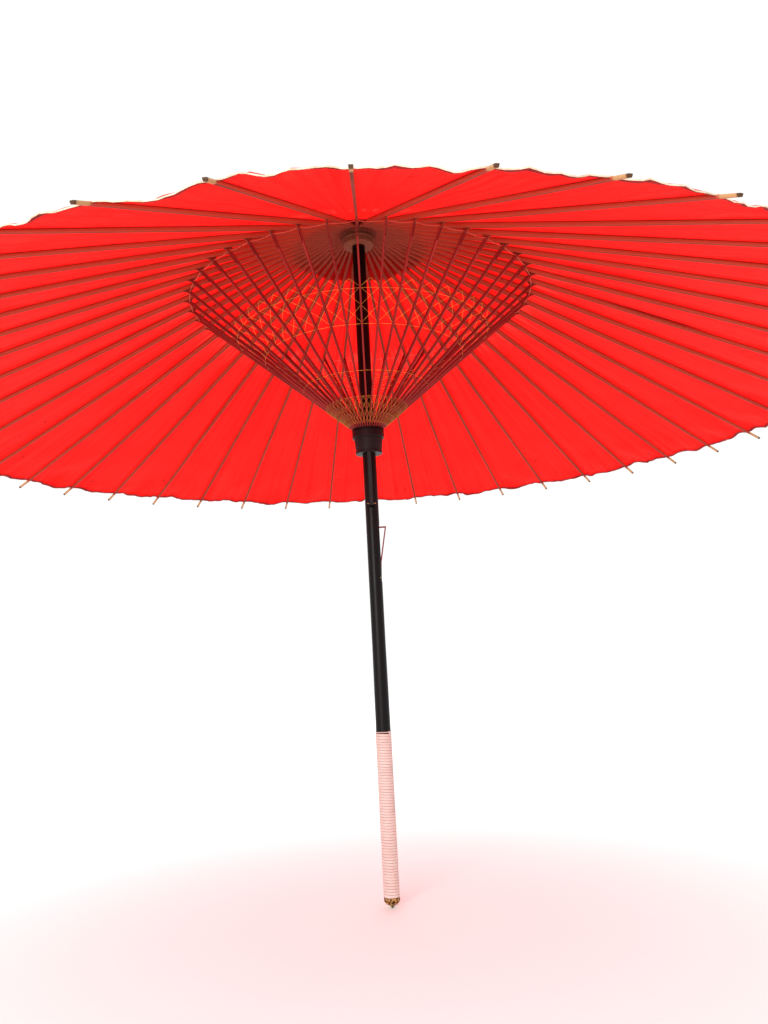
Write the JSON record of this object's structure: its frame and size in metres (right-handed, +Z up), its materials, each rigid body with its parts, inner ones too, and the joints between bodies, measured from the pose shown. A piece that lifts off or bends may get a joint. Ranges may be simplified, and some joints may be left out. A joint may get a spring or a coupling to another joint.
{
  "type": "umbrella",
  "caption": "Oil-paper umbrella shown open: a shallow pleated cone on split-bamboo ribs, a lacquered pole with a sliding runner and spring catches, and a bound grip.",
  "frame": {"origin": "foot of the butt cap on the pole's axis, umbrella open and upright", "axes": "+Z up the pole to the crown, -Y towards the side with the upper catch, +X towards the side with the lower catch"},
  "size_m": [1.052, 1.052, 0.7577],
  "materials": {
    "lacquer": "gloss",
    "hub_lacquer": "satin",
    "rattan": "satin",
    "brass": "polished",
    "oiled_paper": "satin",
    "hood_paper": "satin",
    "bamboo": "satin",
    "stretcher_lacquer": "satin",
    "catch_strip": "satin",
    "pin_brass": "polished",
    "silk_thread": "matte"
  },
  "bodies": {
    "root": {"shaft": "lacquer", "grip_wrap": "rattan", "butt_cap": "brass", "upper_hub": "hub_lacquer", "catch_pins": "pin_brass", "canopy": "oiled_paper", "hood": "hood_paper", "hood_tie": "silk_thread", "hub_thread": "silk_thread", "ring_threads": "silk_thread"},
    "runner": {"runner": "lacquer", "stretchers": "stretcher_lacquer", "runner_thread": "silk_thread", "decor_threads": "silk_thread"},
    "upper_catch": {"upper_catch": "catch_strip"},
    "lower_catch": {"lower_catch": "catch_strip"},
    "rib_01": {"rib_01": "bamboo"},
    "rib_02": {"rib_02": "bamboo"},
    "rib_03": {"rib_03": "bamboo"},
    "rib_04": {"rib_04": "bamboo"},
    "rib_05": {"rib_05": "bamboo"},
    "rib_06": {"rib_06": "bamboo"},
    "rib_07": {"rib_07": "bamboo"},
    "rib_08": {"rib_08": "bamboo"},
    "rib_09": {"rib_09": "bamboo"},
    "rib_10": {"rib_10": "bamboo"},
    "rib_11": {"rib_11": "bamboo"},
    "rib_12": {"rib_12": "bamboo"},
    "rib_13": {"rib_13": "bamboo"},
    "rib_14": {"rib_14": "bamboo"},
    "rib_15": {"rib_15": "bamboo"},
    "rib_16": {"rib_16": "bamboo"},
    "rib_17": {"rib_17": "bamboo"},
    "rib_18": {"rib_18": "bamboo"},
    "rib_19": {"rib_19": "bamboo"},
    "rib_20": {"rib_20": "bamboo"},
    "rib_21": {"rib_21": "bamboo"},
    "rib_22": {"rib_22": "bamboo"},
    "rib_23": {"rib_23": "bamboo"},
    "rib_24": {"rib_24": "bamboo"},
    "rib_25": {"rib_25": "bamboo"},
    "rib_26": {"rib_26": "bamboo"},
    "rib_27": {"rib_27": "bamboo"},
    "rib_28": {"rib_28": "bamboo"},
    "rib_29": {"rib_29": "bamboo"},
    "rib_30": {"rib_30": "bamboo"},
    "rib_31": {"rib_31": "bamboo"},
    "rib_32": {"rib_32": "bamboo"},
    "rib_33": {"rib_33": "bamboo"},
    "rib_34": {"rib_34": "bamboo"},
    "rib_35": {"rib_35": "bamboo"},
    "rib_36": {"rib_36": "bamboo"},
    "rib_37": {"rib_37": "bamboo"},
    "rib_38": {"rib_38": "bamboo"},
    "rib_39": {"rib_39": "bamboo"},
    "rib_40": {"rib_40": "bamboo"},
    "rib_41": {"rib_41": "bamboo"},
    "rib_42": {"rib_42": "bamboo"},
    "rib_43": {"rib_43": "bamboo"},
    "rib_44": {"rib_44": "bamboo"}
  },
  "joints": [
    {"name": "runner_slide", "type": "slide", "parent": "root", "child": "runner", "axis": [0, 0, 1], "range_m": [-0.19345, 0], "deforming": ["canopy", "hood", "ring_threads", "stretchers", "decor_threads", "upper_catch", "lower_catch"]},
    {"name": "upper_catch_press", "type": "hinge", "parent": "root", "child": "upper_catch", "pos_m": [0, -0.006, 0.4188], "axis": [1, 0, 0], "range_deg": [-7.3, 0], "stiffness_Nm_per_rad": 0.05},
    {"name": "lower_catch_press", "type": "hinge", "parent": "root", "child": "lower_catch", "pos_m": [0.006, 0, 0.3375], "axis": [0, 1, 0], "range_deg": [-7.3, 0], "stiffness_Nm_per_rad": 0.05},
    {"name": "rib_01_fold", "type": "hinge", "parent": "root", "child": "rib_01", "pos_m": [0.0165, 0, 0.73367], "axis": [0, 1, 0], "range_deg": [-0.2, 65.5]},
    {"name": "rib_02_fold", "type": "hinge", "parent": "root", "child": "rib_02", "pos_m": [0.01633, 0.00235, 0.73367], "axis": [-0.1423, 0.9898, 0], "range_deg": [-0.2, 65.5]},
    {"name": "rib_03_fold", "type": "hinge", "parent": "root", "child": "rib_03", "pos_m": [0.01583, 0.00465, 0.73367], "axis": [-0.2817, 0.9595, 0], "range_deg": [-0.2, 65.5]},
    {"name": "rib_04_fold", "type": "hinge", "parent": "root", "child": "rib_04", "pos_m": [0.01501, 0.00685, 0.73367], "axis": [-0.4154, 0.9096, 0], "range_deg": [-0.2, 65.5]},
    {"name": "rib_05_fold", "type": "hinge", "parent": "root", "child": "rib_05", "pos_m": [0.01388, 0.00892, 0.73367], "axis": [-0.5406, 0.8413, 0], "range_deg": [-0.2, 65.5]},
    {"name": "rib_06_fold", "type": "hinge", "parent": "root", "child": "rib_06", "pos_m": [0.01247, 0.01081, 0.73367], "axis": [-0.6549, 0.7557, 0], "range_deg": [-0.2, 65.5]},
    {"name": "rib_07_fold", "type": "hinge", "parent": "root", "child": "rib_07", "pos_m": [0.01081, 0.01247, 0.73367], "axis": [-0.7557, 0.6549, 0], "range_deg": [-0.2, 65.5]},
    {"name": "rib_08_fold", "type": "hinge", "parent": "root", "child": "rib_08", "pos_m": [0.00892, 0.01388, 0.73367], "axis": [-0.8413, 0.5406, 0], "range_deg": [-0.2, 65.5]},
    {"name": "rib_09_fold", "type": "hinge", "parent": "root", "child": "rib_09", "pos_m": [0.00685, 0.01501, 0.73367], "axis": [-0.9096, 0.4154, 0], "range_deg": [-0.2, 65.5]},
    {"name": "rib_10_fold", "type": "hinge", "parent": "root", "child": "rib_10", "pos_m": [0.00465, 0.01583, 0.73367], "axis": [-0.9595, 0.2817, 0], "range_deg": [-0.2, 65.5]},
    {"name": "rib_11_fold", "type": "hinge", "parent": "root", "child": "rib_11", "pos_m": [0.00235, 0.01633, 0.73367], "axis": [-0.9898, 0.1423, 0], "range_deg": [-0.2, 65.5]},
    {"name": "rib_12_fold", "type": "hinge", "parent": "root", "child": "rib_12", "pos_m": [0, 0.0165, 0.73367], "axis": [-1, 0, 0], "range_deg": [-0.2, 65.5]},
    {"name": "rib_13_fold", "type": "hinge", "parent": "root", "child": "rib_13", "pos_m": [-0.00235, 0.01633, 0.73367], "axis": [-0.9898, -0.1423, 0], "range_deg": [-0.2, 65.5]},
    {"name": "rib_14_fold", "type": "hinge", "parent": "root", "child": "rib_14", "pos_m": [-0.00465, 0.01583, 0.73367], "axis": [-0.9595, -0.2817, 0], "range_deg": [-0.2, 65.5]},
    {"name": "rib_15_fold", "type": "hinge", "parent": "root", "child": "rib_15", "pos_m": [-0.00685, 0.01501, 0.73367], "axis": [-0.9096, -0.4154, 0], "range_deg": [-0.2, 65.5]},
    {"name": "rib_16_fold", "type": "hinge", "parent": "root", "child": "rib_16", "pos_m": [-0.00892, 0.01388, 0.73367], "axis": [-0.8413, -0.5406, 0], "range_deg": [-0.2, 65.5]},
    {"name": "rib_17_fold", "type": "hinge", "parent": "root", "child": "rib_17", "pos_m": [-0.01081, 0.01247, 0.73367], "axis": [-0.7557, -0.6549, 0], "range_deg": [-0.2, 65.5]},
    {"name": "rib_18_fold", "type": "hinge", "parent": "root", "child": "rib_18", "pos_m": [-0.01247, 0.01081, 0.73367], "axis": [-0.6549, -0.7557, 0], "range_deg": [-0.2, 65.5]},
    {"name": "rib_19_fold", "type": "hinge", "parent": "root", "child": "rib_19", "pos_m": [-0.01388, 0.00892, 0.73367], "axis": [-0.5406, -0.8413, 0], "range_deg": [-0.2, 65.5]},
    {"name": "rib_20_fold", "type": "hinge", "parent": "root", "child": "rib_20", "pos_m": [-0.01501, 0.00685, 0.73367], "axis": [-0.4154, -0.9096, 0], "range_deg": [-0.2, 65.5]},
    {"name": "rib_21_fold", "type": "hinge", "parent": "root", "child": "rib_21", "pos_m": [-0.01583, 0.00465, 0.73367], "axis": [-0.2817, -0.9595, 0], "range_deg": [-0.2, 65.5]},
    {"name": "rib_22_fold", "type": "hinge", "parent": "root", "child": "rib_22", "pos_m": [-0.01633, 0.00235, 0.73367], "axis": [-0.1423, -0.9898, 0], "range_deg": [-0.2, 65.5]},
    {"name": "rib_23_fold", "type": "hinge", "parent": "root", "child": "rib_23", "pos_m": [-0.0165, 0, 0.73367], "axis": [0, -1, 0], "range_deg": [-0.2, 65.5]},
    {"name": "rib_24_fold", "type": "hinge", "parent": "root", "child": "rib_24", "pos_m": [-0.01633, -0.00235, 0.73367], "axis": [0.1423, -0.9898, 0], "range_deg": [-0.2, 65.5]},
    {"name": "rib_25_fold", "type": "hinge", "parent": "root", "child": "rib_25", "pos_m": [-0.01583, -0.00465, 0.73367], "axis": [0.2817, -0.9595, 0], "range_deg": [-0.2, 65.5]},
    {"name": "rib_26_fold", "type": "hinge", "parent": "root", "child": "rib_26", "pos_m": [-0.01501, -0.00685, 0.73367], "axis": [0.4154, -0.9096, 0], "range_deg": [-0.2, 65.5]},
    {"name": "rib_27_fold", "type": "hinge", "parent": "root", "child": "rib_27", "pos_m": [-0.01388, -0.00892, 0.73367], "axis": [0.5406, -0.8413, 0], "range_deg": [-0.2, 65.5]},
    {"name": "rib_28_fold", "type": "hinge", "parent": "root", "child": "rib_28", "pos_m": [-0.01247, -0.01081, 0.73367], "axis": [0.6549, -0.7557, 0], "range_deg": [-0.2, 65.5]},
    {"name": "rib_29_fold", "type": "hinge", "parent": "root", "child": "rib_29", "pos_m": [-0.01081, -0.01247, 0.73367], "axis": [0.7557, -0.6549, 0], "range_deg": [-0.2, 65.5]},
    {"name": "rib_30_fold", "type": "hinge", "parent": "root", "child": "rib_30", "pos_m": [-0.00892, -0.01388, 0.73367], "axis": [0.8413, -0.5406, 0], "range_deg": [-0.2, 65.5]},
    {"name": "rib_31_fold", "type": "hinge", "parent": "root", "child": "rib_31", "pos_m": [-0.00685, -0.01501, 0.73367], "axis": [0.9096, -0.4154, 0], "range_deg": [-0.2, 65.5]},
    {"name": "rib_32_fold", "type": "hinge", "parent": "root", "child": "rib_32", "pos_m": [-0.00465, -0.01583, 0.73367], "axis": [0.9595, -0.2817, 0], "range_deg": [-0.2, 65.5]},
    {"name": "rib_33_fold", "type": "hinge", "parent": "root", "child": "rib_33", "pos_m": [-0.00235, -0.01633, 0.73367], "axis": [0.9898, -0.1423, 0], "range_deg": [-0.2, 65.5]},
    {"name": "rib_34_fold", "type": "hinge", "parent": "root", "child": "rib_34", "pos_m": [0, -0.0165, 0.73367], "axis": [1, 0, 0], "range_deg": [-0.2, 65.5]},
    {"name": "rib_35_fold", "type": "hinge", "parent": "root", "child": "rib_35", "pos_m": [0.00235, -0.01633, 0.73367], "axis": [0.9898, 0.1423, 0], "range_deg": [-0.2, 65.5]},
    {"name": "rib_36_fold", "type": "hinge", "parent": "root", "child": "rib_36", "pos_m": [0.00465, -0.01583, 0.73367], "axis": [0.9595, 0.2817, 0], "range_deg": [-0.2, 65.5]},
    {"name": "rib_37_fold", "type": "hinge", "parent": "root", "child": "rib_37", "pos_m": [0.00685, -0.01501, 0.73367], "axis": [0.9096, 0.4154, 0], "range_deg": [-0.2, 65.5]},
    {"name": "rib_38_fold", "type": "hinge", "parent": "root", "child": "rib_38", "pos_m": [0.00892, -0.01388, 0.73367], "axis": [0.8413, 0.5406, 0], "range_deg": [-0.2, 65.5]},
    {"name": "rib_39_fold", "type": "hinge", "parent": "root", "child": "rib_39", "pos_m": [0.01081, -0.01247, 0.73367], "axis": [0.7557, 0.6549, 0], "range_deg": [-0.2, 65.5]},
    {"name": "rib_40_fold", "type": "hinge", "parent": "root", "child": "rib_40", "pos_m": [0.01247, -0.01081, 0.73367], "axis": [0.6549, 0.7557, 0], "range_deg": [-0.2, 65.5]},
    {"name": "rib_41_fold", "type": "hinge", "parent": "root", "child": "rib_41", "pos_m": [0.01388, -0.00892, 0.73367], "axis": [0.5406, 0.8413, 0], "range_deg": [-0.2, 65.5]},
    {"name": "rib_42_fold", "type": "hinge", "parent": "root", "child": "rib_42", "pos_m": [0.01501, -0.00685, 0.73367], "axis": [0.4154, 0.9096, 0], "range_deg": [-0.2, 65.5]},
    {"name": "rib_43_fold", "type": "hinge", "parent": "root", "child": "rib_43", "pos_m": [0.01583, -0.00465, 0.73367], "axis": [0.2817, 0.9595, 0], "range_deg": [-0.2, 65.5]},
    {"name": "rib_44_fold", "type": "hinge", "parent": "root", "child": "rib_44", "pos_m": [0.01633, -0.00235, 0.73367], "axis": [0.1423, 0.9898, 0], "range_deg": [-0.2, 65.5]}
  ],
  "couplings": [
    {"joint": "rib_01_fold", "follows": "runner_slide", "rad_per_m": -5.8753},
    {"joint": "rib_02_fold", "follows": "runner_slide", "rad_per_m": -5.8753},
    {"joint": "rib_03_fold", "follows": "runner_slide", "rad_per_m": -5.8753},
    {"joint": "rib_04_fold", "follows": "runner_slide", "rad_per_m": -5.8753},
    {"joint": "rib_05_fold", "follows": "runner_slide", "rad_per_m": -5.8753},
    {"joint": "rib_06_fold", "follows": "runner_slide", "rad_per_m": -5.8753},
    {"joint": "rib_07_fold", "follows": "runner_slide", "rad_per_m": -5.8753},
    {"joint": "rib_08_fold", "follows": "runner_slide", "rad_per_m": -5.8753},
    {"joint": "rib_09_fold", "follows": "runner_slide", "rad_per_m": -5.8753},
    {"joint": "rib_10_fold", "follows": "runner_slide", "rad_per_m": -5.8753},
    {"joint": "rib_11_fold", "follows": "runner_slide", "rad_per_m": -5.8753},
    {"joint": "rib_12_fold", "follows": "runner_slide", "rad_per_m": -5.8753},
    {"joint": "rib_13_fold", "follows": "runner_slide", "rad_per_m": -5.8753},
    {"joint": "rib_14_fold", "follows": "runner_slide", "rad_per_m": -5.8753},
    {"joint": "rib_15_fold", "follows": "runner_slide", "rad_per_m": -5.8753},
    {"joint": "rib_16_fold", "follows": "runner_slide", "rad_per_m": -5.8753},
    {"joint": "rib_17_fold", "follows": "runner_slide", "rad_per_m": -5.8753},
    {"joint": "rib_18_fold", "follows": "runner_slide", "rad_per_m": -5.8753},
    {"joint": "rib_19_fold", "follows": "runner_slide", "rad_per_m": -5.8753},
    {"joint": "rib_20_fold", "follows": "runner_slide", "rad_per_m": -5.8753},
    {"joint": "rib_21_fold", "follows": "runner_slide", "rad_per_m": -5.8753},
    {"joint": "rib_22_fold", "follows": "runner_slide", "rad_per_m": -5.8753},
    {"joint": "rib_23_fold", "follows": "runner_slide", "rad_per_m": -5.8753},
    {"joint": "rib_24_fold", "follows": "runner_slide", "rad_per_m": -5.8753},
    {"joint": "rib_25_fold", "follows": "runner_slide", "rad_per_m": -5.8753},
    {"joint": "rib_26_fold", "follows": "runner_slide", "rad_per_m": -5.8753},
    {"joint": "rib_27_fold", "follows": "runner_slide", "rad_per_m": -5.8753},
    {"joint": "rib_28_fold", "follows": "runner_slide", "rad_per_m": -5.8753},
    {"joint": "rib_29_fold", "follows": "runner_slide", "rad_per_m": -5.8753},
    {"joint": "rib_30_fold", "follows": "runner_slide", "rad_per_m": -5.8753},
    {"joint": "rib_31_fold", "follows": "runner_slide", "rad_per_m": -5.8753},
    {"joint": "rib_32_fold", "follows": "runner_slide", "rad_per_m": -5.8753},
    {"joint": "rib_33_fold", "follows": "runner_slide", "rad_per_m": -5.8753},
    {"joint": "rib_34_fold", "follows": "runner_slide", "rad_per_m": -5.8753},
    {"joint": "rib_35_fold", "follows": "runner_slide", "rad_per_m": -5.8753},
    {"joint": "rib_36_fold", "follows": "runner_slide", "rad_per_m": -5.8753},
    {"joint": "rib_37_fold", "follows": "runner_slide", "rad_per_m": -5.8753},
    {"joint": "rib_38_fold", "follows": "runner_slide", "rad_per_m": -5.8753},
    {"joint": "rib_39_fold", "follows": "runner_slide", "rad_per_m": -5.8753},
    {"joint": "rib_40_fold", "follows": "runner_slide", "rad_per_m": -5.8753},
    {"joint": "rib_41_fold", "follows": "runner_slide", "rad_per_m": -5.8753},
    {"joint": "rib_42_fold", "follows": "runner_slide", "rad_per_m": -5.8753},
    {"joint": "rib_43_fold", "follows": "runner_slide", "rad_per_m": -5.8753},
    {"joint": "rib_44_fold", "follows": "runner_slide", "rad_per_m": -5.8753}
  ]
}
